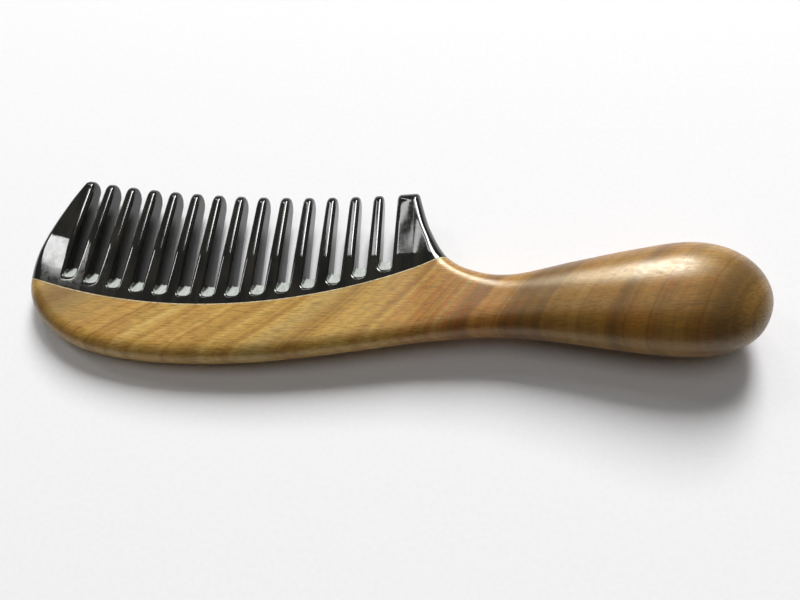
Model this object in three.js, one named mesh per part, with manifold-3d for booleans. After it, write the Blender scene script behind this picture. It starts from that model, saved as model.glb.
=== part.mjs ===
// Wide-tooth hair comb with a handle: a horn tooth blade bonded, by a tongue and groove, into one piece of
// wood that is both the spine and the handle.
//
// Millimetres. The comb is drawn flat and then laid down on its bulb and on the head's end.
// Drawn flat, X runs from the head to the handle, Y towards the tooth tips and Z out of the face. z = 0 is the
// middle plane, x = 0 is the middle tooth, and y = 0 is about where the horn meets the wood below that tooth.
//
// The blade is one piece of horn. It is drawn as its band and its teeth, parted by a fine slit at the foot of
// each tooth, so that each is a simple solid and the gaps between the teeth stay open in a physics model. The
// ridges at the roots of the gaps belong to the band.
import * as THREE from "three";
import { mergeVertices } from "three/addons/utils/BufferGeometryUtils.js";
import Module from "manifold-3d";

const wasm = await Module();
wasm.setup();

// Teeth
const TOOTH_PITCH = 6.1;
const TIP_PITCH = 6.06; // the teeth draw together a little towards their tips
const TOOTH_LEAN = 0.3; // and the tips stand this far towards the handle
const GAP_COUNT = 14; // 13 slim teeth between two wide guard teeth
const GAP_ROOT_WIDTH = 3.1;
const GAP_TIP_WIDTH = 3.5;
const GAP_CORNER_RADIUS = 1.4;
const ROOT_BEVEL_RUN = 4.7; // how far a gap's root climbs from either face to its ridge on the middle plane
const TIP_HALF_THICKNESS = 2.75;
const TIP_ROUNDING = 3.4; // the tips are rounded over this length, seen from the side
const TIP_TAPER_LENGTH = 19.5; // the teeth thin out over this length, up to their tips
const PARTING_HEIGHT = 2.1; // from the roots to the slit, which passes just above the gaps' round corners
const PARTING_SLIT = 0.05;
const BAND_REACH = 6; // how far above the roots the band can reach, with its ridges
// Head and handle
const HEAD_HALF_THICKNESS = 3.8;
const HEAD_EDGE_DEPTH = 4.0; // how far in from the outline the head's rounded edge reaches
const HANDLE_FLATNESS = 0.72; // half thickness over half width, where the handle is oval
const NECK_START_X = 46; // the section starts to change here, from the flat head to the oval handle
const FULL_THICKNESS_X = 76;
const FULL_OVAL_X = 92;
const OUTLINE_EDGE_END_X = 50; // up to here the rounded edge follows the outline's own normal
const ACROSS_EDGE_START_X = 62; // and from here on it is measured straight across the handle
// Tongue and groove
const TONGUE_THICKNESS = 2.4;
const TONGUE_DEPTH = 3.0;
const TONGUE_START_X = -40;
const TONGUE_END_X = 42;
const TONGUE_ROOTING = 1; // how far the tongue's solid reaches back into the blade
const GLUE_THICKNESS = 0.2;
const GLUE_CLEARANCE = 0.05; // drawn between the glue and either part, so that the solids stay apart
// Rest
// The bulb is thicker than the head, so the comb lies tilted up towards the handle, and a little towards
// the teeth.
const REST_TILT = THREE.MathUtils.degToRad(2.27);
const REST_ROLL = THREE.MathUtils.degToRad(0.27);
// Mesh
const OUTLINE_SEGMENTS = 260;
const RING_SEGMENTS = 32; // round one cross-section
const ARC_SEGMENTS = 36; // along the joint
const CORNER_SEGMENTS = 4; // round a gap's corner
const HEAD_SECTION_START_X = -43;
const HEAD_SECTION_COUNT = 23;
const HEAD_SECTION_STEP = 4;
const HANDLE_SECTION_START_X = 47.2;
const SMALLEST_HALF_WIDTH = 1e-6; // at the two ends, where a cross-section shrinks to a point
// Cutting shapes, which all reach past the comb
const CUT_REACH = 30; // above and below its faces, and past the tips
const HEAD_REACH_X = 64; // to either side of the head
const HEAD_REACH_Y = 60; // in front of the tips
const BEVEL_OVERSHOOT = 1; // past either face

// Three shallow arcs that cross the head, each given by its lowest point and its radius.
const JOINT = { x: -4.2, y: 0, radius: 139.5 };
const ROOTS = { x: -2.3, y: 1.7, radius: 129.2 };
const TIPS = { x: 23.6, y: 32.1, radius: 332.4 };
const yOnArc = (arc, x) => arc.y + arc.radius - Math.sqrt(arc.radius ** 2 - (x - arc.x) ** 2);

// The outline, from the first guard tooth's tip down the end of the head, along the spine, round the handle's
// bulb and back through the neck to the second guard tooth's tip. The arc of the tips closes it.
const outline = new THREE.SplineCurve(
  [
    [-42.6, 40.5],
    [-46.0, 33.2],
    [-49.2, 23.3],
    [-51.0, 14.5],
    [-50.9, 7.2],
    [-48.7, 1.3],
    [-44.2, -4.0],
    [-37.0, -8.6],
    [-28.0, -11.5],
    [-15.0, -13.3],
    [-1.0, -13.6],
    [14.0, -12.7],
    [32.0, -10.3],
    [50.0, -7.6],
    [66.0, -6.4],
    [80.0, -7.5],
    [97.0, -9.9],
    [109.0, -10.7],
    [118.0, -9.3],
    [124.3, -5.0],
    [127.4, 2.9],
    [125.0, 10.2],
    [118.8, 15.2],
    [110.0, 16.9],
    [98.0, 15.2],
    [84.0, 12.2],
    [70.0, 9.0],
    [61.0, 9.9],
    [54.5, 13.7],
    [50.2, 21.6],
    [47.8, 29.5],
    [46.6, 35.0],
  ].map(([x, y]) => new THREE.Vector2(x, y)),
).getSpacedPoints(OUTLINE_SEGMENTS);

const byX = (a, b) => a.x - b.x;
const headEndIndex = outline.indexOf([...outline].sort(byX)[0]);
const handleEndIndex = outline.indexOf([...outline].sort(byX).at(-1));
const guardEdge = outline.slice(0, headEndIndex + 1).reverse();
const lowerEdge = outline.slice(headEndIndex, handleEndIndex + 1);
const handleEdge = outline.slice(handleEndIndex).reverse();

// Height of a left-to-right edge at x, or Infinity past its ends.
function yOnEdge(edge, x) {
  const next = edge.findIndex((p) => p.x >= x);
  if (next < 0) return Infinity;
  if (next === 0) return edge[0].x === x ? edge[0].y : Infinity;
  const [a, b] = [edge[next - 1], edge[next]];
  return THREE.MathUtils.mapLinear(x, a.x, b.x, a.y, b.y);
}

const upperY = (x) => Math.min(yOnArc(TIPS, x), yOnEdge(guardEdge, x), yOnEdge(handleEdge, x));
const lowerY = (x) => yOnEdge(lowerEdge, x);

function distanceToOutline(x, y) {
  const point = new THREE.Vector3(x, y, 0);
  const nearest = new THREE.Vector3();
  let least = Infinity;
  for (let i = 1; i < outline.length; i++) {
    const a = new THREE.Vector3(outline[i - 1].x, outline[i - 1].y, 0);
    const b = new THREE.Vector3(outline[i].x, outline[i].y, 0);
    new THREE.Line3(a, b).closestPointToPoint(point, true, nearest);
    least = Math.min(least, nearest.distanceTo(point));
  }
  return least;
}

// A rounded edge: 0 on the outline, rising along a quarter ellipse to 1 at the given depth and beyond.
const roundedEdge = (inset, depth) => Math.sqrt(1 - (1 - THREE.MathUtils.clamp(inset / depth, 0, 1)) ** 2);

// Half thickness of the whole comb at (x, y), teeth and gaps taken together.
function halfThickness(x, y) {
  const { clamp, lerp, smoothstep } = THREE.MathUtils;
  const halfWidth = Math.max((upperY(x) - lowerY(x)) / 2, SMALLEST_HALF_WIDTH);
  const handleFace = HANDLE_FLATNESS * halfWidth;
  const face = lerp(HEAD_HALF_THICKNESS, handleFace, smoothstep(x, NECK_START_X, FULL_THICKNESS_X));
  const belowTips = Math.max(yOnArc(TIPS, x) - y, 0);
  const taper = (belowTips - TIP_ROUNDING) / (TIP_TAPER_LENGTH - TIP_ROUNDING);
  const thinning = lerp(TIP_HALF_THICKNESS / HEAD_HALF_THICKNESS, 1, clamp(taper, 0, 1));
  const edgeDepth = lerp(HEAD_EDGE_DEPTH, halfWidth, smoothstep(x, NECK_START_X, FULL_OVAL_X));
  const acrossHandle = Math.min(upperY(x) - y, y - lowerY(x));
  const inHandle = smoothstep(x, OUTLINE_EDGE_END_X, ACROSS_EDGE_START_X);
  const inset = lerp(distanceToOutline(x, y), acrossHandle, inHandle);
  const edge = roundedEdge(inset, edgeDepth * thinning);
  return face * thinning * Math.min(edge, roundedEdge(belowTips, TIP_ROUNDING));
}

function solidOf(geometry) {
  geometry.deleteAttribute("normal");
  geometry.deleteAttribute("uv");
  const merged = mergeVertices(geometry);
  const vertProperties = merged.attributes.position.array;
  return new wasm.Manifold(
    new wasm.Mesh({ numProp: 3, vertProperties, triVerts: new Uint32Array(merged.index.array) }),
  );
}

// Cross-sections stand close together where the outline is steep: at both ends and beside the guard teeth.
function sectionPlaces() {
  const everyOther = (edge) => edge.filter((_, i) => i % 2 === 0).map((p) => p.x);
  const headEnd = everyOther(guardEdge).filter((x) => x < HEAD_SECTION_START_X);
  const head = Array.from(
    { length: HEAD_SECTION_COUNT },
    (_, i) => HEAD_SECTION_START_X + i * HEAD_SECTION_STEP,
  );
  const handle = everyOther(handleEdge.toReversed())
    .toReversed()
    .filter((x) => x > HANDLE_SECTION_START_X);
  return [...headEnd, ...head, ...handle];
}

// The comb before its gaps are cut: a sphere whose rings are drawn out into the cross-sections.
function combBlank() {
  const places = sectionPlaces();
  const geometry = new THREE.SphereGeometry(1, RING_SEGMENTS, places.length - 1);
  const position = geometry.attributes.position;
  for (let i = 0; i < position.count; i++) {
    const x = places[Math.floor(i / (RING_SEGMENTS + 1))];
    const turn = (i % (RING_SEGMENTS + 1)) / RING_SEGMENTS;
    const across = (1 - Math.cos(turn * 2 * Math.PI)) / 2;
    const y = THREE.MathUtils.lerp(lowerY(x), upperY(x), across);
    const onEdge = turn === 0 || turn === 0.5 || turn === 1;
    const side = turn < 0.5 ? 1 : -1;
    position.setXYZ(i, x, y, onEdge ? 0 : side * halfThickness(x, y));
  }
  return solidOf(geometry);
}

// A prism of a plan outline, as thick as asked, on both sides of the middle plane.
function prism(shape, halfHeight, curveSegments = ARC_SEGMENTS) {
  const options = { depth: 2 * halfHeight, bevelEnabled: false, curveSegments };
  return solidOf(new THREE.ExtrudeGeometry(shape, options).translate(0, 0, -halfHeight));
}

const angleOnArc = (arc, x) => Math.asin((x - arc.x) / arc.radius) - Math.PI / 2;

// Everything on the teeth's side of an arc, with its surface moved towards the wood by grow.
function aboveArc(arc, grow) {
  const from = angleOnArc(arc, -HEAD_REACH_X);
  const to = angleOnArc(arc, HEAD_REACH_X);
  const above = new THREE.Shape();
  above.absarc(arc.x, arc.y + arc.radius, arc.radius + grow, from, to, false);
  above.lineTo(HEAD_REACH_X, HEAD_REACH_Y);
  above.lineTo(-HEAD_REACH_X, HEAD_REACH_Y);
  return prism(above, CUT_REACH);
}

// Everything on the horn's side of the joint, tongue included, with its surface moved into the wood by grow.
function hornSide(grow) {
  const centreY = JOINT.y + JOINT.radius;
  const spread = grow / JOINT.radius;
  const from = angleOnArc(JOINT, TONGUE_START_X) - spread;
  const to = angleOnArc(JOINT, TONGUE_END_X) + spread;
  const tongue = new THREE.Shape();
  tongue.absarc(JOINT.x, centreY, JOINT.radius + TONGUE_DEPTH + grow, from, to, false);
  tongue.absarc(JOINT.x, centreY, JOINT.radius - TONGUE_ROOTING, to, from, true);
  return aboveArc(JOINT, grow).add(prism(tongue, TONGUE_THICKNESS / 2 + grow));
}

const rootXOf = (number) => (number - (GAP_COUNT - 1) / 2) * TOOTH_PITCH;
const tipXOf = (number) => (number - (GAP_COUNT - 1) / 2) * TIP_PITCH + TOOTH_LEAN;

// The plan of a gap between two teeth, with its sides moved into them by grow: round corners at its root, and
// flared at the tips to round the teeth's ends.
function gapPlan(number, grow) {
  const rootX = rootXOf(number);
  const tipX = tipXOf(number);
  const root = yOnArc(ROOTS, rootX);
  const rootHalf = GAP_ROOT_WIDTH / 2 + grow;
  const tipHalf = GAP_TIP_WIDTH / 2 + grow;
  const left = tipX - TIP_PITCH / 2;
  const right = tipX + TIP_PITCH / 2;
  const tipRound = TIP_PITCH / 2 - tipHalf;
  const corner = GAP_CORNER_RADIUS;
  const leftTip = yOnArc(TIPS, left);
  const rightTip = yOnArc(TIPS, right);
  const plan = new THREE.Shape();
  plan.moveTo(rootX - rootHalf + corner, root);
  plan.lineTo(rootX + rootHalf - corner, root);
  plan.quadraticCurveTo(rootX + rootHalf, root, rootX + rootHalf, root + corner);
  plan.lineTo(tipX + tipHalf, rightTip - tipRound);
  plan.quadraticCurveTo(tipX + tipHalf, rightTip, right, rightTip);
  plan.lineTo(right, rightTip + CUT_REACH);
  plan.lineTo(left, rightTip + CUT_REACH);
  plan.lineTo(left, leftTip);
  plan.quadraticCurveTo(tipX - tipHalf, leftTip, tipX - tipHalf, leftTip - tipRound);
  plan.lineTo(rootX - rootHalf, root + corner);
  plan.quadraticCurveTo(rootX - rootHalf, root, rootX - rootHalf + corner, root);
  return plan;
}

const gapColumn = (number, grow) => prism(gapPlan(number, grow), CUT_REACH, CORNER_SEGMENTS);
const gapNumbers = Array.from({ length: GAP_COUNT }, (_, number) => number);

// The root's two bevels, seen along the gap's width: a wedge of horn is left, pointing at the tips.
function rootBevel(root) {
  const outside = HEAD_HALF_THICKNESS + BEVEL_OVERSHOOT;
  const outsideY = root + ROOT_BEVEL_RUN * (1 - outside / HEAD_HALF_THICKNESS);
  const side = new THREE.Shape();
  side.moveTo(outsideY, -outside);
  side.lineTo(HEAD_REACH_Y, -outside);
  side.lineTo(HEAD_REACH_Y, outside);
  side.lineTo(outsideY, outside);
  side.lineTo(root + ROOT_BEVEL_RUN, 0);
  const options = { depth: 2 * HEAD_REACH_X, bevelEnabled: false };
  const geometry = new THREE.ExtrudeGeometry(side, options).translate(0, 0, -HEAD_REACH_X);
  const [alongX, alongY, alongZ] = [
    new THREE.Vector3(1, 0, 0),
    new THREE.Vector3(0, 1, 0),
    new THREE.Vector3(0, 0, 1),
  ];
  return solidOf(geometry.applyMatrix4(new THREE.Matrix4().makeBasis(alongY, alongZ, alongX)));
}

function hornBlade(blank) {
  const cutGap = (horn, number) => {
    const bevel = rootBevel(yOnArc(ROOTS, rootXOf(number)));
    return horn.subtract(gapColumn(number, 0).intersect(bevel));
  };
  return gapNumbers.reduce(cutGap, blank.intersect(hornSide(0)));
}

// Where the teeth stand: everything above the slit, at a height over the roots, but not in the gaps.
function toothRegion(height, gapGrow) {
  const cutColumn = (region, number) => region.subtract(gapColumn(number, gapGrow));
  return gapNumbers.reduce(cutColumn, aboveArc(ROOTS, -height));
}

// The band keeps the ridges in the gaps, which are a slit narrower than the gaps.
function hornBand(blade) {
  const lower = blade.subtract(aboveArc(ROOTS, -BAND_REACH));
  return lower.subtract(toothRegion(PARTING_HEIGHT, -PARTING_SLIT));
}

// The teeth as separate solids, in order from the head's end to the handle.
function hornTeeth(blade) {
  const leftEnd = (solid) => solid.boundingBox().min[0];
  const teeth = blade.intersect(toothRegion(PARTING_HEIGHT + PARTING_SLIT, 0)).decompose();
  return teeth.sort((a, b) => leftEnd(a) - leftEnd(b));
}

function glueLine(blank) {
  const woodward = hornSide(GLUE_CLEARANCE + GLUE_THICKNESS);
  return blank.intersect(woodward).subtract(hornSide(GLUE_CLEARANCE));
}

function woodBody(blank) {
  return blank.subtract(hornSide(2 * GLUE_CLEARANCE + GLUE_THICKNESS));
}

function meshOf(name, solid, material) {
  const { vertProperties, triVerts } = solid.getMesh();
  const geometry = new THREE.BufferGeometry()
    .setAttribute("position", new THREE.BufferAttribute(vertProperties, 3))
    .setIndex(new THREE.BufferAttribute(triVerts, 1))
    .toNonIndexed();
  geometry.computeVertexNormals();
  const mesh = new THREE.Mesh(geometry, material);
  mesh.name = name;
  return mesh;
}

const wood = new THREE.MeshStandardMaterial({ color: 0xa67f4c, roughness: 0.42, metalness: 0 });
const horn = new THREE.MeshStandardMaterial({ color: 0x1d1c1c, roughness: 0.16, metalness: 0 });
const glue = new THREE.MeshStandardMaterial({ color: 0xcdb98a, roughness: 0.4, metalness: 0 });

const blank = combBlank();
const blade = hornBlade(blank);
const [headGuard, ...others] = hornTeeth(blade);
const handleGuard = others.pop();

const comb = new THREE.Group();
comb.add(meshOf("wood_body", woodBody(blank), wood));
comb.add(meshOf("glue_line", glueLine(blank), glue));
comb.add(meshOf("horn_band", hornBand(blade), horn));
comb.add(meshOf("guard_tooth_head", headGuard, horn));
comb.add(meshOf("guard_tooth_handle", handleGuard, horn));
others.forEach((tooth, i) => comb.add(meshOf(`tooth_${i + 1}`, tooth, horn)));
comb.rotation.set(REST_ROLL, -REST_TILT, 0);

// The origin is the middle of the comb's footprint, on the surface it lies on.
const extent = new THREE.Box3().setFromObject(comb, true);
const middle = extent.getCenter(new THREE.Vector3());
comb.position.set(-middle.x, -middle.y, -extent.min.z);

const part = new THREE.Group();
part.add(comb);
export default part;
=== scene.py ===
"""Wide-tooth hair comb: a horn tooth blade glued by a tongue and groove into a wooden spine and handle.

The comb is worked out flat, in millimetres: X from the head to the handle, Y towards the tooth tips, Z out of the
face, z = 0 on the middle plane, x = 0 at the middle tooth and y = 0 at the joint below it. Its pieces are then laid
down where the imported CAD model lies, in metres.
"""

import math

import bmesh
import bpy
import numpy as np
from mathutils import Matrix, Quaternion, Vector


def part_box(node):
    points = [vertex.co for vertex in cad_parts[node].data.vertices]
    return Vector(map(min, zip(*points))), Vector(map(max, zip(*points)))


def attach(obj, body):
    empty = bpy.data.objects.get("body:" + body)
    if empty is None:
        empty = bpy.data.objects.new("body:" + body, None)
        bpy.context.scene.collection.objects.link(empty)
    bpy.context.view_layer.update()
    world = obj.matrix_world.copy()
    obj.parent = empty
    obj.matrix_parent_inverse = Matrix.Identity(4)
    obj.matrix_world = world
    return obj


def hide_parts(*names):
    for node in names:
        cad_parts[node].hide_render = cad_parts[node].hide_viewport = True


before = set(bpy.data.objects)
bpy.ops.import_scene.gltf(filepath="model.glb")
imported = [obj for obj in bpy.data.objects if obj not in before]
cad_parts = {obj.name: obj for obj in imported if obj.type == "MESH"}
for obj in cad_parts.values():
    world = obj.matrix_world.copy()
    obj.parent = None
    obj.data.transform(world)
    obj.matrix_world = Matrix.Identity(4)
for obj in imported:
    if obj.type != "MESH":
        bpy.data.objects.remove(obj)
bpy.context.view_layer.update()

MM = 0.001

# ---------------------------------------------------------------- driving dimensions, as in the CAD model
TOOTH_PITCH = 6.1
TIP_PITCH = 6.06
GAP_COUNT = 14
GAP_ROOT_WIDTH = 3.1
GAP_TIP_WIDTH = 3.5
TOOTH_LEAN = 0.3
GAP_CORNER_RADIUS = 1.4
ROOT_BEVEL_RUN = 4.7
TIP_HALF_THICKNESS = 2.75
TIP_ROUNDING = 3.4
TIP_TAPER_LENGTH = 19.5
HEAD_HALF_THICKNESS = 3.8
HEAD_EDGE_DEPTH = 4.0
HANDLE_FLATNESS = 0.72
NECK_START_X = 46
FULL_THICKNESS_X = 76
FULL_OVAL_X = 92
TONGUE_THICKNESS = 2.4
TONGUE_DEPTH = 3.0
TONGUE_START_X = -40
TONGUE_END_X = 42
GLUE_THICKNESS = 0.2
GLUE_CLEARANCE = 0.05
WOOD_SETBACK = GLUE_THICKNESS + 2 * GLUE_CLEARANCE
REST_TILT = math.radians(2.27)
REST_ROLL = math.radians(0.27)

# How round the long edges of the teeth are: nearly sharp at the root, fully round from the taper's start.
ROOT_RIM_RADIUS = 0.4
TOOTH_RIDGE_RADIUS = 1.0
FACET_FILLET = 0.5
GUARD_CROWN_WIDTH = 4.6
GUARD_CROWN = 0.55

# The guard teeth have a narrower rounded edge than the spine. It changes from below the joint to above the roots.
GUARD_EDGE_DEPTH = 2.6
GUARD_CHANGE_BELOW_JOINT = 2
GUARD_CHANGE_ABOVE_ROOTS = 6
GUARD_LOWEST_Y = -5

# How far a point is from the edge is its distance to the outline before these, and is measured straight across the
# oval handle past them.
ACROSS_START_X = NECK_START_X + 4
ACROSS_END_X = NECK_START_X + 16

# The ground facets: how far up the walls they reach, over how much they fade there, how far below the face they
# start, and how close to a facet's surface a point counts as on it.
GROUND_REACH = 2.2
GROUND_FADE = 0.6
GROUND_BELOW_FACE = 0.2
GROUND_CLOSE = 0.1

OUTLINE_POINTS = [
    (-42.6, 40.5), (-46.0, 33.2), (-49.2, 23.3), (-51.0, 14.5), (-50.9, 7.2), (-48.7, 1.3), (-44.2, -4.0),
    (-37.0, -8.6), (-28.0, -11.5), (-15.0, -13.3), (-1.0, -13.6), (14.0, -12.7), (32.0, -10.3), (50.0, -7.6),
    (66.0, -6.4), (80.0, -7.5), (97.0, -9.9), (109.0, -10.7), (118.0, -9.3), (124.3, -5.0), (127.4, 2.9),
    (125.0, 10.2), (118.8, 15.2), (110.0, 16.9), (98.0, 15.2), (84.0, 12.2), (70.0, 9.0), (61.0, 9.9),
    (54.5, 13.7), (50.2, 21.6), (47.8, 29.5), (46.6, 35.0),
]


class Arc:
    """A shallow arc across the head, with its centre on the teeth's side."""

    def __init__(self, low_x, low_y, radius):
        self.x, self.centre_y, self.radius = low_x, low_y + radius, radius

    def y(self, x):
        return self.centre_y - np.sqrt(self.radius**2 - (x - self.x) ** 2)

    def angle(self, x):
        return math.asin((x - self.x) / self.radius) - math.pi / 2

    def outside(self, x, y):
        """How far a point is outside the arc's circle."""
        return np.hypot(x - self.x, y - self.centre_y) - self.radius

    def points(self, offset, start, end, count):
        turns = np.linspace(start, end, count)
        reach = self.radius + offset
        return np.stack([self.x + reach * np.cos(turns), self.centre_y + reach * np.sin(turns)], 1)


JOINT = Arc(-4.2, 0.0, 139.5)
ROOTS = Arc(-2.3, 1.7, 129.2)
TIPS = Arc(23.6, 32.1, 332.4)
ARC_REACH = 60  # an arc's height is only asked for within this x


# ---------------------------------------------------------------- the comb's plan and thickness
def spline(points, per_span):
    """A Catmull-Rom curve through the points."""
    points = np.array(points, float)
    padded = np.vstack([points[:1], points, points[-1:]])
    t = np.linspace(0, 1, per_span, endpoint=False)[:, None]
    spans = []
    for a, b, c, d in zip(padded, padded[1:], padded[2:], padded[3:]):
        v0, v1 = (c - a) / 2, (d - b) / 2
        spans.append((2 * b - 2 * c + v0 + v1) * t**3 + (3 * c - 3 * b - 2 * v0 - v1) * t**2 + v0 * t + b)
    return np.vstack(spans + [points[-1:]])


OUTLINE = spline(OUTLINE_POINTS, 16)
HEAD_END = int(OUTLINE[:, 0].argmin())
HANDLE_END = int(OUTLINE[:, 0].argmax())
GUARD_EDGE = OUTLINE[: HEAD_END + 1][::-1]
LOWER_EDGE = OUTLINE[HEAD_END : HANDLE_END + 1]
HANDLE_EDGE = OUTLINE[HANDLE_END:][::-1]


def lower_y(x):
    return np.interp(x, LOWER_EDGE[:, 0], LOWER_EDGE[:, 1])


def upper_edge_y(x):
    """The outline's upper side: the guard tooth's outer edge or the handle's, and infinite between them."""
    guard = np.interp(x, GUARD_EDGE[:, 0], GUARD_EDGE[:, 1], right=np.inf)
    handle = np.interp(x, HANDLE_EDGE[:, 0], HANDLE_EDGE[:, 1], left=np.inf)
    return np.minimum(guard, handle)


def upper_y(x):
    return np.minimum(upper_edge_y(x), TIPS.y(x))


def smoothstep(low, high, x):
    t = np.clip((x - low) / (high - low), 0, 1)
    return t * t * (3 - 2 * t)


def mix(a, b, share):
    return a + (b - a) * share


DEEP_HALF_LENGTH = 36
DEEP_HEIGHT = 8.0


def distance_to_outline(x, y):
    """Distance to the outline, positive inside it; deep in the head, past its rounded edge, it is a fixed value."""
    deep = (np.abs(x) < DEEP_HALF_LENGTH) & (y - lower_y(x) > DEEP_HEIGHT)
    distance = np.full(x.shape, DEEP_HEIGHT)
    distance[~deep] = exact_distance(x[~deep], y[~deep])
    return distance


def exact_distance(x, y):
    least = np.full(x.shape, np.inf)
    for (ax, ay), (bx, by) in zip(OUTLINE[:-1], OUTLINE[1:]):
        dx, dy = bx - ax, by - ay
        t = np.clip(((x - ax) * dx + (y - ay) * dy) / (dx * dx + dy * dy), 0, 1)
        least = np.minimum(least, (x - ax - t * dx) ** 2 + (y - ay - t * dy) ** 2)
    inside = (x > OUTLINE[HEAD_END, 0]) & (x < OUTLINE[HANDLE_END, 0])
    inside &= (y > lower_y(x)) & (y < upper_edge_y(x))
    return np.sqrt(least) * np.where(inside, 1, -1)


def section(x, y):
    """Half thickness of the flat face at (x, y), and how far into the rounded edge it lies: 1 on the outline."""
    half_width = np.maximum((upper_y(x) - lower_y(x)) / 2, 1e-6)
    in_neck = smoothstep(NECK_START_X, FULL_THICKNESS_X, x)
    face = mix(HEAD_HALF_THICKNESS, HANDLE_FLATNESS * half_width, in_neck)
    taper = (TIPS.y(x) - y - TIP_ROUNDING) / (TIP_TAPER_LENGTH - TIP_ROUNDING)
    thinning = mix(TIP_HALF_THICKNESS / HEAD_HALF_THICKNESS, 1, np.clip(taper, 0, 1))
    head_x = np.clip(x, -ARC_REACH, ARC_REACH)
    change_start = JOINT.y(head_x) - GUARD_CHANGE_BELOW_JOINT
    on_guard = smoothstep(change_start, ROOTS.y(head_x) + GUARD_CHANGE_ABOVE_ROOTS, y)
    head_depth = mix(HEAD_EDGE_DEPTH, GUARD_EDGE_DEPTH, on_guard * (y > GUARD_LOWEST_Y))
    depth = mix(head_depth, half_width, smoothstep(NECK_START_X, FULL_OVAL_X, x)) * thinning
    across = np.minimum(upper_y(x) - y, y - lower_y(x))
    inset = mix(distance_to_outline(x, y), across, smoothstep(ACROSS_START_X, ACROSS_END_X, x))
    return face * thinning, np.maximum(1 - inset / depth, 0)


# ---------------------------------------------------------------- meshes
def new_mesh(name, points, faces):
    mesh = bpy.data.meshes.new(name)
    mesh.from_pydata([tuple(p) for p in np.asarray(points).tolist()], [], [tuple(f) for f in faces])
    mesh.validate()
    obj = bpy.data.objects.new(name, mesh)
    bpy.context.scene.collection.objects.link(obj)
    return obj


def combine(target, operation, *tools):
    """Cuts, joins or crosses the target with each tool, and removes the tools."""
    for tool in tools:
        modifier = target.modifiers.new("combine", "BOOLEAN")
        modifier.operation, modifier.solver, modifier.object = operation, "MANIFOLD", tool
        graph = bpy.context.evaluated_depsgraph_get()
        made = bpy.data.meshes.new_from_object(target.evaluated_get(graph))
        target.modifiers.clear()
        target.data = made
        bpy.data.objects.remove(tool)
    return target


def prism(name, outline, half_height):
    """A closed prism of a plan outline that runs counter-clockwise."""
    count = len(outline)
    low = [(x, y, -half_height) for x, y in outline]
    high = [(x, y, half_height) for x, y in outline]
    sides = [(i, (i + 1) % count, (i + 1) % count + count, i + count) for i in range(count)]
    faces = [tuple(range(count))[::-1], tuple(range(count, 2 * count))] + sides
    return new_mesh(name, low + high, faces)


# The cutters reach past the head on every side.
JOINT_STEPS = 420
PRISM_HALF_HEIGHT = 30
HEAD_REACH = 64
BEYOND_TIPS_Y = 60
TONGUE_BASE = 1


def above_joint(grow):
    """Everything on the horn's side of the joint, with its surface moved into the wood by grow."""
    arc = JOINT.points(grow, JOINT.angle(-HEAD_REACH), JOINT.angle(HEAD_REACH), JOINT_STEPS)
    outline = [*arc.tolist(), (HEAD_REACH, BEYOND_TIPS_Y), (-HEAD_REACH, BEYOND_TIPS_Y)]
    return prism("above_joint", outline, PRISM_HALF_HEIGHT)


def tongue(grow):
    """The tongue below the joint, grown all round; its base reaches into the horn."""
    spread = grow / JOINT.radius
    start, end = JOINT.angle(TONGUE_START_X) - spread, JOINT.angle(TONGUE_END_X) + spread
    tip = JOINT.points(TONGUE_DEPTH + grow, start, end, JOINT_STEPS)
    base = JOINT.points(-TONGUE_BASE, end, start, JOINT_STEPS)
    return prism("tongue", [*tip.tolist(), *base.tolist()], TONGUE_THICKNESS / 2 + grow)


# ---------------------------------------------------------------- the wooden spine and handle
RING_HALF = 36
EVEN_START_X = -44
EVEN_END_X = 46
EVEN_STEP = 0.9
WOOD_ABOVE_JOINT = 3


def section_places():
    """Cross-sections are evenly spaced along the head, and follow the outline's own points past both ends."""
    head_end = GUARD_EDGE[GUARD_EDGE[:, 0] < EVEN_START_X, 0]
    head = np.arange(EVEN_START_X, EVEN_END_X, EVEN_STEP)
    handle = HANDLE_EDGE[HANDLE_EDGE[:, 0] > HANDLE_EDGE[0, 0], 0]
    return np.unique(np.concatenate([head_end, head, handle]).round(4))


def loft_faces(rows, ring):
    """Quads between rings of points, and a fan at each end to the two points that follow them."""
    faces = []
    for i in range(rows - 1):
        for k in range(ring):
            n = (k + 1) % ring
            faces.append((i * ring + k, i * ring + n, (i + 1) * ring + n, (i + 1) * ring + k))
    for k in range(ring):
        n = (k + 1) % ring
        faces.append((rows * ring, n, k))
        faces.append((rows * ring + 1, (rows - 1) * ring + k, (rows - 1) * ring + n))
    return faces


def wood_blank():
    """The comb's lower part, to a little above the joint, as a loft closed by a point at each end."""
    places = section_places()
    turns = np.arange(2 * RING_HALF) * math.pi / RING_HALF
    x = np.repeat(places[1:-1, None], len(turns), 1)
    low = lower_y(x)
    high = np.minimum(upper_y(x), JOINT.y(np.clip(x, -ARC_REACH, ARC_REACH)) + WOOD_ABOVE_JOINT)
    y = mix(low, high, (1 - np.cos(turns)) / 2)
    face, edge = section(x, y)
    z = face * np.sqrt(np.clip(1 - edge**2, 0, 1)) * np.sign(np.round(np.sin(turns), 9))
    points = np.stack([x, y, z], 2).reshape(-1, 3)
    ends = [(*OUTLINE[end], 0) for end in (HEAD_END, HANDLE_END)]
    obj = new_mesh("wood_blank", np.vstack([points, *ends]), loft_faces(*x.shape))
    outwards(obj)
    return obj


def outwards(obj):
    made = bmesh.new()
    made.from_mesh(obj.data)
    bmesh.ops.recalc_face_normals(made, faces=made.faces)
    made.to_mesh(obj.data)
    made.free()


# ---------------------------------------------------------------- the horn blade
def round_max(a, b, radius):
    """The larger of two distances, with the corner between them rounded."""
    corner = np.hypot(np.maximum(a + radius, 0), np.maximum(b + radius, 0))
    return np.minimum(np.maximum(a, b), -radius) + corner


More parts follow.
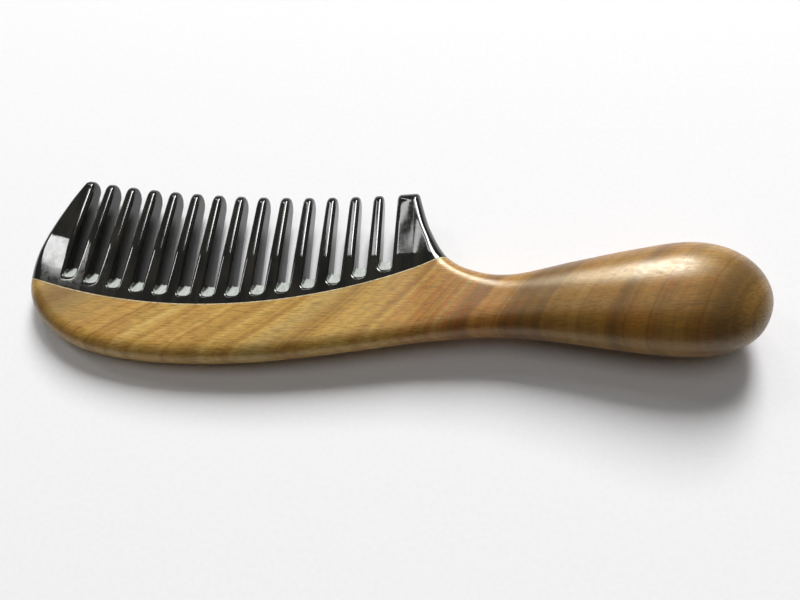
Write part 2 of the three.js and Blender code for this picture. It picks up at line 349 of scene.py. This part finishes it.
def gap_shape(x, y, z):
    """How far a point is outside the nearest gap's walls in plan, below its root's bevels, and above its root."""
    number = np.clip(np.round(x / TOOTH_PITCH - 0.5), -GAP_COUNT / 2, GAP_COUNT / 2 - 1)
    centre = (number + 0.5) * TOOTH_PITCH
    root, tip = ROOTS.y(centre), TIPS.y(centre)
    share = np.clip((y - root) / (tip - root), 0, 1)
    half = mix(GAP_ROOT_WIDTH, GAP_TIP_WIDTH, share) / 2
    tip_shift = (number + 0.5) * (TIP_PITCH - TOOTH_PITCH) + TOOTH_LEAN
    walls = round_max(np.abs(x - centre - tip_shift * share) - half, root - y, GAP_CORNER_RADIUS)
    steep = HEAD_HALF_THICKNESS / math.hypot(HEAD_HALF_THICKNESS, ROOT_BEVEL_RUN)
    bevel = (root + ROOT_BEVEL_RUN * (1 - np.abs(z) / HEAD_HALF_THICKNESS) - y) * steep
    return walls, bevel, y - root


def horn_field(x, y, z, face, edge):
    """Distance-like: negative in the horn, 0 on its surface."""
    below_tips = TIPS.y(x) - y
    tip = np.maximum(1 - below_tips / TIP_ROUNDING, 0)
    walls, bevel, _ = gap_shape(x, y, z)
    root_y = ROOTS.y(x)
    kink_y = TIPS.y(x) - TIP_TAPER_LENGTH
    crowned = smoothstep(kink_y - 1, TIPS.y(x), y) * (np.abs(x) > (GAP_COUNT - 1) / 2 * TOOTH_PITCH)
    crown = GUARD_CROWN * crowned * np.clip(1 - walls / GUARD_CROWN_WIDTH, 0, 1)
    rounded = (edge**6 + tip**6 + crown**6) ** (1 / 3)
    body = (np.sqrt(rounded + (z / face) ** 2) - 1) * face
    round_share = np.clip((y - root_y) / (kink_y - root_y), 0, 1)
    radius = mix(ROOT_RIM_RADIUS, TOOTH_RIDGE_RADIUS, round_share)
    return round_max(body, -round_max(walls, bevel, FACET_FILLET), radius)


# The horn's grid. Across the head, from a tooth's middle to the gap's: close together up to the tooth's side.
TOOTH_SIDE_X = 1.42
HALF_TOOTH_X = [0, 0.2, 0.4, 0.6, 0.78, 0.92, 1.04, 1.16, 1.28, TOOTH_SIDE_X, 1.7, 2.1, 2.6, 3.05]
GUARD_SIDE_X = [39.9, 40.4, 41.0]
GUARD_STEP = 0.3
GRID_START_X, GRID_END_X = -52, 58

# From below the joint to past the tips.
BELOW_JOINT = 1
BAND_ROWS = 8
ROOT_ROWS_REACH, ROOT_ROW_STEP = 6, 0.33
TOOTH_ROWS = 33
TIP_ROWS_DEPTH, TIP_ROWS_LENGTH, TIP_ROW_STEP = 3, 3.7, 0.24

# From the middle plane to past the face, as shares of the half thickness.
HALF_LAYERS = [0, 0.15, 0.3, 0.44, 0.56, 0.66, 0.74, 0.8, 0.85, 0.895, 0.935, 0.97, 1.005, 1.05, 1.12]

# The horn ends a little below the joint, so all that is left of its tongue is a stub, hidden in the groove. Points
# lower than MOVED_BELOW_JOINT are hidden too, and stay where the grid put them.
HORN_BELOW_JOINT = 0.6
MOVED_BELOW_JOINT = 0.3


def both_sides(half):
    """A list that starts at 0, with its mirror image before it."""
    half = np.array(half)
    return np.concatenate([-half[:0:-1], half])


def horn_x_lines():
    """Lines across the head: close together over the teeth and the guard teeth, wider apart over the gaps."""
    end_tooth = GAP_COUNT // 2 - 1
    teeth = [j * TOOTH_PITCH + both_sides(HALF_TOOTH_X) for j in range(-end_tooth, end_tooth + 1)]
    inner = GAP_COUNT / 2 * TOOTH_PITCH - TOOTH_SIDE_X
    left = np.arange(-inner, GRID_START_X, -GUARD_STEP)
    right = np.arange(inner, GRID_END_X, GUARD_STEP)
    sides = np.array(GUARD_SIDE_X)
    return np.unique(np.concatenate([*teeth, left, right, -sides, sides]).round(3))


def horn_grid():
    """Points of a grid that follows the joint, the roots and the tips, and thins out with the teeth."""
    x = horn_x_lines()
    bottom, root, tip = JOINT.y(x) - BELOW_JOINT, ROOTS.y(x), TIPS.y(x)
    tooth_start, tooth_end = root + ROOT_ROWS_REACH, tip - TIP_ROWS_DEPTH
    rows = [mix(bottom, root, s) for s in np.linspace(0, 1, BAND_ROWS + 1)[:-1]]
    rows += [root + s for s in np.arange(0, ROOT_ROWS_REACH, ROOT_ROW_STEP)]
    rows += [mix(tooth_start, tooth_end, s) for s in np.linspace(0, 1, TOOTH_ROWS + 1)[:-1]]
    rows += [tooth_end + s for s in np.arange(0, TIP_ROWS_LENGTH, TIP_ROW_STEP)]
    y = np.stack(rows, 1)
    x = np.repeat(x[:, None], y.shape[1], 1)
    face, edge = section(x, y)
    z = face[:, :, None] * both_sides(HALF_LAYERS)
    x, y, face, edge = (np.broadcast_to(v[:, :, None], z.shape) for v in (x, y, face, edge))
    return x, y, z, face, edge


def surface_net(field, places):
    """The surface where the field is 0: one point in each cell it passes through, joined into quads."""
    cells = tuple(n - 1 for n in field.shape)
    total, count = np.zeros(cells + (3,)), np.zeros(cells)
    inside = field < 0
    crossings = []
    for axis in range(3):
        first = tuple(slice(None, -1) if a == axis else slice(None) for a in range(3))
        second = tuple(slice(1, None) if a == axis else slice(None) for a in range(3))
        crossed = inside[first] != inside[second]
        where = np.argwhere(crossed)
        a, b = field[first][crossed], field[second][crossed]
        share = (a / (a - b))[:, None]
        found = mix(places[first][crossed], places[second][crossed], share)
        others = [d for d in range(3) if d != axis]
        corners = []
        for du, dv in ((0, 0), (1, 0), (1, 1), (0, 1)):
            cell = where.copy()
            cell[:, others[0]] -= du
            cell[:, others[1]] -= dv
            valid = np.all((cell >= 0) & (cell < cells), axis=1)
            at = tuple(cell[valid].T)
            np.add.at(total, at, found[valid])
            np.add.at(count, at, 1)
            corners.append(np.where(valid[:, None], cell, -1))
        # The four cells round a crossed grid line turn the other way about for the middle axis.
        outward = inside[first][crossed]
        crossings.append((corners, ~outward if axis != 1 else outward))
    used = count > 0
    number = np.full(cells, -1)
    number[used] = np.arange(used.sum())
    points = total[used] / count[used][:, None]
    faces = []
    for corners, flip in crossings:
        quad = np.stack([np.where(c[:, 0] >= 0, number[tuple(c.T)], -1) for c in corners], 1)
        quad[flip] = quad[flip][:, ::-1]
        faces.append(quad[(quad >= 0).all(axis=1)])
    return points, np.vstack(faces)


def field_at(points):
    x, y, z = points.T
    return horn_field(x, y, z, *section(x, y))


def on_surface(points, steps=3, probe=0.01, least_slope=0.05, longest_move=0.3):
    """Moves points along the field's gradient until they lie on the horn's surface."""
    for _ in range(steps):
        changes = [field_at(points + probe * d) - field_at(points - probe * d) for d in np.eye(3)]
        slope = np.stack(changes, 1) / (2 * probe)
        move = slope * (field_at(points) / np.maximum((slope**2).sum(1), least_slope))[:, None]
        length = np.linalg.norm(move, axis=1)[:, None]
        points = points - move * np.minimum(1, longest_move / np.maximum(length, 1e-9))
    return points


def horn_blank():
    x, y, z, face, edge = horn_grid()
    field = horn_field(x, y, z, face, edge)
    field = np.maximum(field, JOINT.outside(x, y) - HORN_BELOW_JOINT)
    points, faces = surface_net(field, np.stack([x, y, z], 3))
    free = JOINT.outside(points[:, 0], points[:, 1]) < MOVED_BELOW_JOINT
    points[free] = on_surface(points)[free]
    return new_mesh("horn_blank", points, faces.tolist())


# ---------------------------------------------------------------- the pieces
ROW_TURN = Matrix.Rotation(REST_ROLL, 4, "X") @ Matrix.Rotation(-REST_TILT, 4, "Y")


def wood_and_glue():
    wood = wood_blank()
    glue = wood.copy()
    glue.data = wood.data.copy()
    bpy.context.scene.collection.objects.link(glue)
    combine(wood, "DIFFERENCE", above_joint(WOOD_SETBACK), tongue(WOOD_SETBACK))
    combine(glue, "DIFFERENCE", above_joint(GLUE_CLEARANCE), tongue(GLUE_CLEARANCE))
    shell = above_joint(WOOD_SETBACK - GLUE_CLEARANCE)
    combine(shell, "UNION", tongue(WOOD_SETBACK - GLUE_CLEARANCE))
    combine(glue, "INTERSECT", shell)
    return wood, glue


def horn_blade():
    horn = horn_blank()
    side = combine(above_joint(0), "UNION", tongue(0))
    return combine(horn, "INTERSECT", side)


def box_centre(points):
    return (points.min(0) + points.max(0)) / 2


def coordinates(obj):
    flat = np.empty(len(obj.data.vertices) * 3)
    obj.data.vertices.foreach_get("co", flat)
    return flat.reshape(-1, 3)


def row_matrix(wood):
    """From the comb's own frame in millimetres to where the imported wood_body lies, in metres."""
    turned = coordinates(wood) @ np.array(ROW_TURN.to_3x3()).T * MM
    low, high = (np.array(corner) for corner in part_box("wood_body"))
    place = (low + high) / 2 - box_centre(turned)
    place[2] = low[2] - turned[:, 2].min()
    return Matrix.Translation(Vector(place)) @ ROW_TURN @ Matrix.Scale(MM, 4)


def set_name(obj, name):
    obj.name = obj.data.name = name


def close_to(distance):
    """1 up to one and a half times GROUND_CLOSE from a facet's surface, and 0 from two and a half times."""
    return np.clip(2.5 - np.abs(distance) / GROUND_CLOSE, 0, 1)


def mark_ground_facets(horn):
    """Stores how far each point belongs to the ground facets at the roots of the gaps, from 0 to 1."""
    x, y, z = coordinates(horn).T
    walls, bevel, above_root = gap_shape(x, y, z)
    face, edge = section(x, y)
    under_face = (1 - np.sqrt(edge**2 + (z / face) ** 2)) * face
    on_bevel = close_to(bevel) * np.clip(1 - walls / GROUND_CLOSE, 0, 1)
    on_foot = close_to(walls) * np.clip((GROUND_REACH - above_root) / GROUND_FADE, 0, 1)
    below_face = np.clip((under_face - GROUND_BELOW_FACE) / GROUND_BELOW_FACE, 0, 1)
    on_facet = np.maximum(on_bevel, on_foot) * below_face
    attribute = horn.data.attributes.new("ground", "FLOAT", "POINT")
    attribute.data.foreach_set("value", on_facet)


def finish_mesh(obj, matrix, sharp_degrees):
    obj.data.transform(matrix)
    obj.data.shade_smooth()
    obj.data.set_sharp_from_angle(angle=math.radians(sharp_degrees))


# ---------------------------------------------------------------- materials
def linear(hex_colour):
    """An sRGB hex colour as linear RGBA."""
    parts = [int(hex_colour[i : i + 2], 16) / 255 for i in (0, 2, 4)]
    return tuple(c / 12.92 if c <= 0.04045 else ((c + 0.055) / 1.055) ** 2.4 for c in parts) + (1.0,)


class Look:
    """A material whose nodes are added one call at a time; a call returns the new node's output."""

    def __init__(self, name):
        self.material = bpy.data.materials.new(name)
        self.material.use_nodes = True
        self.tree = self.material.node_tree
        self.tree.nodes.clear()

    def add(self, kind, inputs=None, out=0, **settings):
        node = self.tree.nodes.new(kind)
        for name, value in settings.items():
            setattr(node, name, value)
        for socket, value in (inputs or {}).items():
            if isinstance(value, bpy.types.NodeSocket):
                self.tree.links.new(value, node.inputs[socket])
            else:
                node.inputs[socket].default_value = value
        return node.outputs[out]

    def math(self, operation, a, b=0.0, clamp=False):
        return self.add("ShaderNodeMath", {0: a, 1: b}, operation=operation, use_clamp=clamp)

    def distance(self, place, centre):
        return self.add("ShaderNodeVectorMath", {0: place, 1: centre}, out="Value", operation="DISTANCE")

    def comb_place(self, matrix):
        """The point's place in the comb's own frame, in millimetres."""
        place, turn, size = matrix.inverted().decompose()
        point = self.add("ShaderNodeTexCoord", out="Object")
        return self.add(
            "ShaderNodeMapping",
            {"Vector": point, "Location": place, "Rotation": turn.to_euler(), "Scale": size},
        )

    def noise(self, place, scale=1.0, detail=2.0, roughness=0.5, stretch=None, offset=None):
        """Noise from 0 to 1 at a point, stretched along the axes."""
        if stretch or offset:
            place = self.add(
                "ShaderNodeMapping",
                {"Vector": place, "Location": offset or (0, 0, 0), "Scale": stretch or (1, 1, 1)},
            )
        return self.add(
            "ShaderNodeTexNoise",
            {"Vector": place, "Scale": scale, "Detail": detail, "Roughness": roughness},
        )

    def wander(self, place, scale, detail, roughness, reach):
        """Noise about 0, up to half the reach either way."""
        return self.math("MULTIPLY", self.math("SUBTRACT", self.noise(place, scale, detail, roughness), 0.5), reach)

    def bands(self, across, scale, detail, roughness=0.5, start=None):
        """Noise from 0 to 1 that changes along one number only; another start gives another run of bands."""
        if start:
            across = self.math("ADD", across, start)
        return self.add(
            "ShaderNodeTexNoise",
            {"W": across, "Scale": scale, "Detail": detail, "Roughness": roughness},
            noise_dimensions="1D",
        )

    def remap(self, value, low, high, to_low=0.0, to_high=1.0):
        return self.add(
            "ShaderNodeMapRange",
            {"Value": value, "From Min": low, "From Max": high, "To Min": to_low, "To Max": to_high},
            interpolation_type="SMOOTHSTEP",
        )

    def ramp(self, value, stops):
        output = self.add("ShaderNodeValToRGB", {"Fac": value})
        elements = output.node.color_ramp.elements
        for _ in stops[2:]:
            elements.new(0.5)
        for element, (position, colour) in zip(elements, stops):
            element.position, element.color = position, linear(colour)
        return output

    def mix(self, share, a, b, blend="MIX"):
        node = self.tree.nodes.new("ShaderNodeMix")
        node.data_type, node.blend_type = "RGBA", blend
        for socket, value in (("Factor_Float", share), ("A_Color", a), ("B_Color", b)):
            target = next(i for i in node.inputs if i.identifier == socket)
            if isinstance(value, bpy.types.NodeSocket):
                self.tree.links.new(value, target)
            else:
                target.default_value = linear(value) if isinstance(value, str) else value
        return next(o for o in node.outputs if o.identifier == "Result_Color")

    def bump(self, height, distance, strength=1.0, normal=None):
        inputs = {"Height": height, "Distance": distance, "Strength": strength}
        if normal:
            inputs["Normal"] = normal
        return self.add("ShaderNodeBump", inputs)

    def surface(self, **inputs):
        sockets = {name.replace("_", " "): value for name, value in inputs.items()}
        shader = self.add("ShaderNodeBsdfPrincipled", sockets)
        output = self.tree.nodes.new("ShaderNodeOutputMaterial")
        self.tree.links.new(shader, output.inputs["Surface"])
        return self.material


# The wood's growth rings stand round an axis beyond the head's corner, and slope through the thickness.
RING_AXIS_X = -108.0
RING_AXIS_Y = 138.0
RING_SLOPE = 0.55
HEAD_TINT = (0.8, 0.78, 0.74, 1.0)
HANDLE_TINT = (0.52, 0.44, 0.35, 1.0)
RED_NECK = (56.0, -3.0, 5.0)
RED_SPOT = (104.0, 3.5, 8.0)


def wood_rings(look, p, x, y, z):
    """Which growth ring a point is in: its distance from the rings' axis, wandering a little."""
    dx = look.math("SUBTRACT", x, RING_AXIS_X)
    dy = look.math("SUBTRACT", y, RING_AXIS_Y)
    around = look.math("SQRT", look.math("ADD", look.math("MULTIPLY", dx, dx), look.math("MULTIPLY", dy, dy)))
    sloped = look.math("ADD", around, look.math("MULTIPLY", z, RING_SLOPE))
    slow, quick = look.wander(p, 0.02, 1.0, 0.5, 5.0), look.wander(p, 0.1, 3.0, 0.6, 1.5)
    return look.math("ADD", sloped, look.math("ADD", slow, quick))


def wood_look(matrix):
    look = Look("figured_wood")
    p = look.comb_place(matrix)
    parts = look.add("ShaderNodeSeparateXYZ", {"Vector": p}).node.outputs
    x, y, z = parts[0], parts[1], parts[2]
    ring = wood_rings(look, p, x, y, z)
    broad = look.bands(ring, 0.05, 1.0)
    streak = look.bands(ring, 0.2, 5.0, 0.6, start=300.0)
    fine = look.bands(ring, 0.8, 3.0, 0.6, start=900.0)

    # Gold bands, darker at the head's end, and browner with dark bands towards the handle.
    base = look.ramp(streak, [(0.3, "a37a38"), (0.43, "be9549"), (0.54, "cea656"), (0.68, "dab96c")])
    colour = look.mix(look.remap(broad, 0.5, 0.7, 0.0, 0.6), base, "8a6c3b")
    colour = look.mix(look.remap(broad, 0.45, 0.25, 0.0, 0.4), colour, "dba443")
    colour = look.mix(look.remap(x, -18.0, -50.0), colour, HEAD_TINT, "MULTIPLY")
    browner = look.math("SUBTRACT", look.remap(x, 25.0, 85.0), look.remap(x, 104.0, 123.0, 0.0, 0.5))
    colour = look.mix(browner, colour, HANDLE_TINT, "MULTIPLY")
    shade = look.bands(ring, 0.11, 3.0, 0.55, start=500.0)
    shade = look.math("MULTIPLY", look.remap(shade, 0.5, 0.62), look.remap(x, 30.0, 62.0, 0.1, 0.62))
    colour = look.mix(shade, colour, "4b3520")

    # Warm red streaks at the neck and one spot in the bulb.
    by_neck = look.remap(look.distance(p, RED_NECK), 24.0, 5.0)
    by_spot = look.remap(look.distance(p, RED_SPOT), 9.0, 2.0, 0.0, 0.6)
    near = look.math("MAXIMUM", by_neck, by_spot, clamp=True)
    patch = look.remap(look.noise(p, 0.09, 2.0, 0.5, offset=(40, 0, 0)), 0.5, 0.68, 0.12, 0.5)
    red = look.math("MULTIPLY", look.math("MAXIMUM", near, patch), look.remap(fine, 0.35, 0.65, 0.25, 1.0))
    colour = look.mix(look.math("MULTIPLY", red, 0.62), colour, "ad5b26")

    # Thin dark lines end some of the bands.
    line = look.math("MULTIPLY", look.remap(fine, 0.56, 0.7), look.remap(streak, 0.56, 0.4, 0.2, 1.0))
    colour = look.mix(look.math("MULTIPLY", line, 0.45), colour, "5f472d")

    # Fibres and pores run along the comb, with longer pores at the handle's end.
    fibre = look.noise(p, 1.0, 4.0, 0.65, stretch=(0.35, 3.2, 3.2))
    colour = look.mix(look.remap(fibre, 0.42, 0.7, 0.0, 0.48), colour, "5f4520")
    pore = look.noise(p, 1.0, 2.0, 0.6, stretch=(0.32, 5.5, 5.5), offset=(7, 3, 1))
    long_pore = look.noise(p, 1.0, 2.0, 0.6, stretch=(0.12, 2.6, 2.6), offset=(3, 9, 5))
    at_end = look.remap(x, 95.0, 118.0, 0.15, 1.0)
    long_lines = look.math("MULTIPLY", look.remap(long_pore, 0.5, 0.64), at_end)
    flecks = look.math("MAXIMUM", look.remap(pore, 0.54, 0.68), long_lines)
    colour = look.mix(look.math("MULTIPLY", flecks, 0.5), colour, "4a3519")

    relief = look.math("SUBTRACT", look.math("MULTIPLY", fibre, 0.35), look.math("MULTIPLY", flecks, 0.6))
    normal = look.bump(relief, 0.00003, 0.25)
    rough = look.remap(look.noise(p, 0.6, 3.0, 0.6), 0.3, 0.7, 0.27, 0.37)
    rough = look.math("ADD", rough, look.math("MULTIPLY", flecks, 0.15))
    return look.surface(
        Base_Color=colour,
        Roughness=rough,
        Normal=normal,
        Specular_IOR_Level=0.55,
        Specular_Tint=(1.0, 0.9, 0.62, 1.0),
        Coat_Weight=0.2,
        Coat_Roughness=0.27,
    )


GROUND_ROUGHNESS = 0.62


def horn_look(matrix):
    look = Look("polished_horn")
    p = look.comb_place(matrix)
    streak = look.noise(p, 1.0, 4.0, 0.6, stretch=(0.5, 0.06, 0.3))
    colour = look.ramp(streak, [(0.3, "121312"), (0.5, "1c1c1a"), (0.66, "262520"), (0.8, "343027")])
    cloud = look.noise(p, 0.09, 3.0, 0.6)
    colour = look.mix(look.remap(cloud, 0.45, 0.75, 0.0, 0.5), colour, "2d2b26")

    # Ground facets: pale, matt and scored.
    ground = look.add("ShaderNodeAttribute", out="Fac", attribute_name="ground")
    score = look.noise(p, 1.0, 4.0, 0.7, stretch=(6.0, 0.35, 0.35))
    pale = look.ramp(score, [(0.3, "7c827d"), (0.5, "a9aea8"), (0.7, "cdd2cb")])
    colour = look.mix(ground, colour, pale)

    scratches = look.noise(p, 1.0, 3.0, 0.6, stretch=(3.0, 0.2, 3.0))
    smear = look.noise(p, 0.5, 3.0, 0.6)
    polished = look.remap(smear, 0.3, 0.7, 0.05, 0.1)
    rough = look.add("ShaderNodeMix", {0: ground, 2: polished, 3: GROUND_ROUGHNESS}, data_type="FLOAT")
    polish = look.bump(scratches, 0.000006, 0.3)
    scored = look.bump(look.math("MULTIPLY", score, ground), 0.00012, 0.9, polish)
    return look.surface(Base_Color=colour, Roughness=rough, Normal=scored, Specular_IOR_Level=0.55)


def glue_look(matrix):
    look = Look("cured_glue")
    p = look.comb_place(matrix)
    cloud = look.noise(p, 0.8, 3.0, 0.6)
    colour = look.ramp(cloud, [(0.35, "b39a6c"), (0.5, "d6c59c"), (0.7, "e8dcbb")])
    normal = look.bump(look.noise(p, 3.0, 2.0), 0.00003, 0.4)
    return look.surface(Base_Color=colour, Roughness=look.remap(cloud, 0.3, 0.7, 0.35, 0.5), Normal=normal)


def floor_look():
    look = Look("white_paper")
    p = look.add("ShaderNodeTexCoord", out="Object")
    tooth = look.noise(p, 900.0, 3.0, 0.6)
    colour = look.mix(look.remap(tooth, 0.3, 0.7, 0.0, 0.5), "f4f4f5", "efeff1")
    return look.surface(Base_Color=colour, Roughness=0.9, Normal=look.bump(tooth, 0.0001, 0.15))


# ---------------------------------------------------------------- the comb
wood, glue = wood_and_glue()
horn = horn_blade()
TO_ROW = row_matrix(wood)
mark_ground_facets(horn)
# The CAD model holds the one-piece blade as its band and its teeth, for collision.
HORN_NODES = ["horn_band", "guard_tooth_head", "guard_tooth_handle"]
HORN_NODES += [f"tooth_{number}" for number in range(1, GAP_COUNT)]
for piece, name, nodes, slot, make_look, sharp in (
    (wood, "wood_spine_and_handle", ["wood_body"], "wood", wood_look, 40),
    (glue, "glue_seam", ["glue_line"], "glue", glue_look, 40),
    (horn, "horn_blade", HORN_NODES, "horn", horn_look, 34),
):
    set_name(piece, name)
    finish_mesh(piece, TO_ROW, sharp)
    piece.data.materials.clear()
    piece.data.materials.append(make_look(TO_ROW))
    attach(piece, "root")
    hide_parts(*nodes)

# ---------------------------------------------------------------- floor, camera and light
FLOOR_SIZE = 30.0
bpy.ops.mesh.primitive_plane_add(size=FLOOR_SIZE)
floor = bpy.context.object
set_name(floor, "floor")
floor.data.materials.append(floor_look())

# The photo's camera, in the comb's own frame: its place in millimetres, and its turns in degrees, one after another.
CAMERA_PLACE = Vector((60.883, -71.628, 147.897))
CAMERA_TURNS = ((13.357, "Z"), (27.353, "X"), (-11.984, "Z"))
SENSOR_WIDTH = 36
FOCAL_LENGTH = 31.5
camera = bpy.data.objects.new("camera", bpy.data.cameras.new("camera"))
bpy.context.scene.collection.objects.link(camera)
aim = ROW_TURN.copy()
for degrees, axis in CAMERA_TURNS:
    aim = aim @ Matrix.Rotation(math.radians(degrees), 4, axis)
camera.matrix_world = Matrix.Translation(TO_ROW @ CAMERA_PLACE) @ aim
camera.data.sensor_width = SENSOR_WIDTH
camera.data.lens = FOCAL_LENGTH
camera.data.clip_start = 0.01
bpy.context.scene.camera = camera


def soft_light(name, place, lean, size, power):
    """An area light that faces the comb; a lean in degrees tips its top to the right, as the comb sees it."""
    data = bpy.data.lights.new(name, "AREA")
    data.shape, data.size, data.size_y = "RECTANGLE", *size
    data.energy = power
    lamp = bpy.data.objects.new(name, data)
    bpy.context.scene.collection.objects.link(lamp)
    lamp.location = place
    turn = (-Vector(place)).to_track_quat("-Z", "Y") @ Quaternion((0, 0, 1), math.radians(lean))
    lamp.rotation_euler = turn.to_euler()


def from_behind(azimuth, elevation, distance):
    """A place round the comb: azimuth 0 is behind it, and grows to the right."""
    a, e = math.radians(azimuth), math.radians(elevation)
    return distance * math.cos(e) * math.sin(a), distance * math.cos(e) * math.cos(a), distance * math.sin(e)


# Each light: azimuth, elevation and lean in degrees, width and height in metres, and power in watts.
LIGHT_DISTANCE = 2.6
for name, azimuth, elevation, lean, size, power in (
    ("window_left", -54.7, 38, 8, (0.13, 0.7), 4.4),
    ("pane_behind_left", -21.8, 40, 17, (0.17, 1.2), 5.8),
    ("pane_behind_middle", -1.4, 40, -21, (0.22, 1.2), 7.7),
    ("pane_behind_right", 10, 40, 0, (0.65, 1.2), 74.0),
    ("ceiling", 180, 88, 0, (1.5, 1.5), 9.0),
):
    soft_light(name, from_behind(azimuth, elevation, LIGHT_DISTANCE), lean, size, power)

# The room's own light is warm, and weaker in front of the comb than behind it.
ROOM_COLOUR = (1.0, 0.95, 0.89, 1.0)
ROOM_LEVEL = {"From Min": -0.6, "From Max": 0.9, "To Min": 0.03, "To Max": 0.13}
room = bpy.data.worlds.new("room")
room.use_nodes = True
nodes, links = room.node_tree.nodes, room.node_tree.links
direction = nodes.new("ShaderNodeTexCoord")
split = nodes.new("ShaderNodeSeparateXYZ")
level = nodes.new("ShaderNodeMapRange")
for socket, value in ROOM_LEVEL.items():
    level.inputs[socket].default_value = value
links.new(direction.outputs["Generated"], split.inputs[0])
links.new(split.outputs["Y"], level.inputs["Value"])
links.new(level.outputs[0], nodes["Background"].inputs["Strength"])
nodes["Background"].inputs["Color"].default_value = ROOM_COLOUR
bpy.context.scene.world = room
bpy.context.scene.view_settings.view_transform = "Standard"
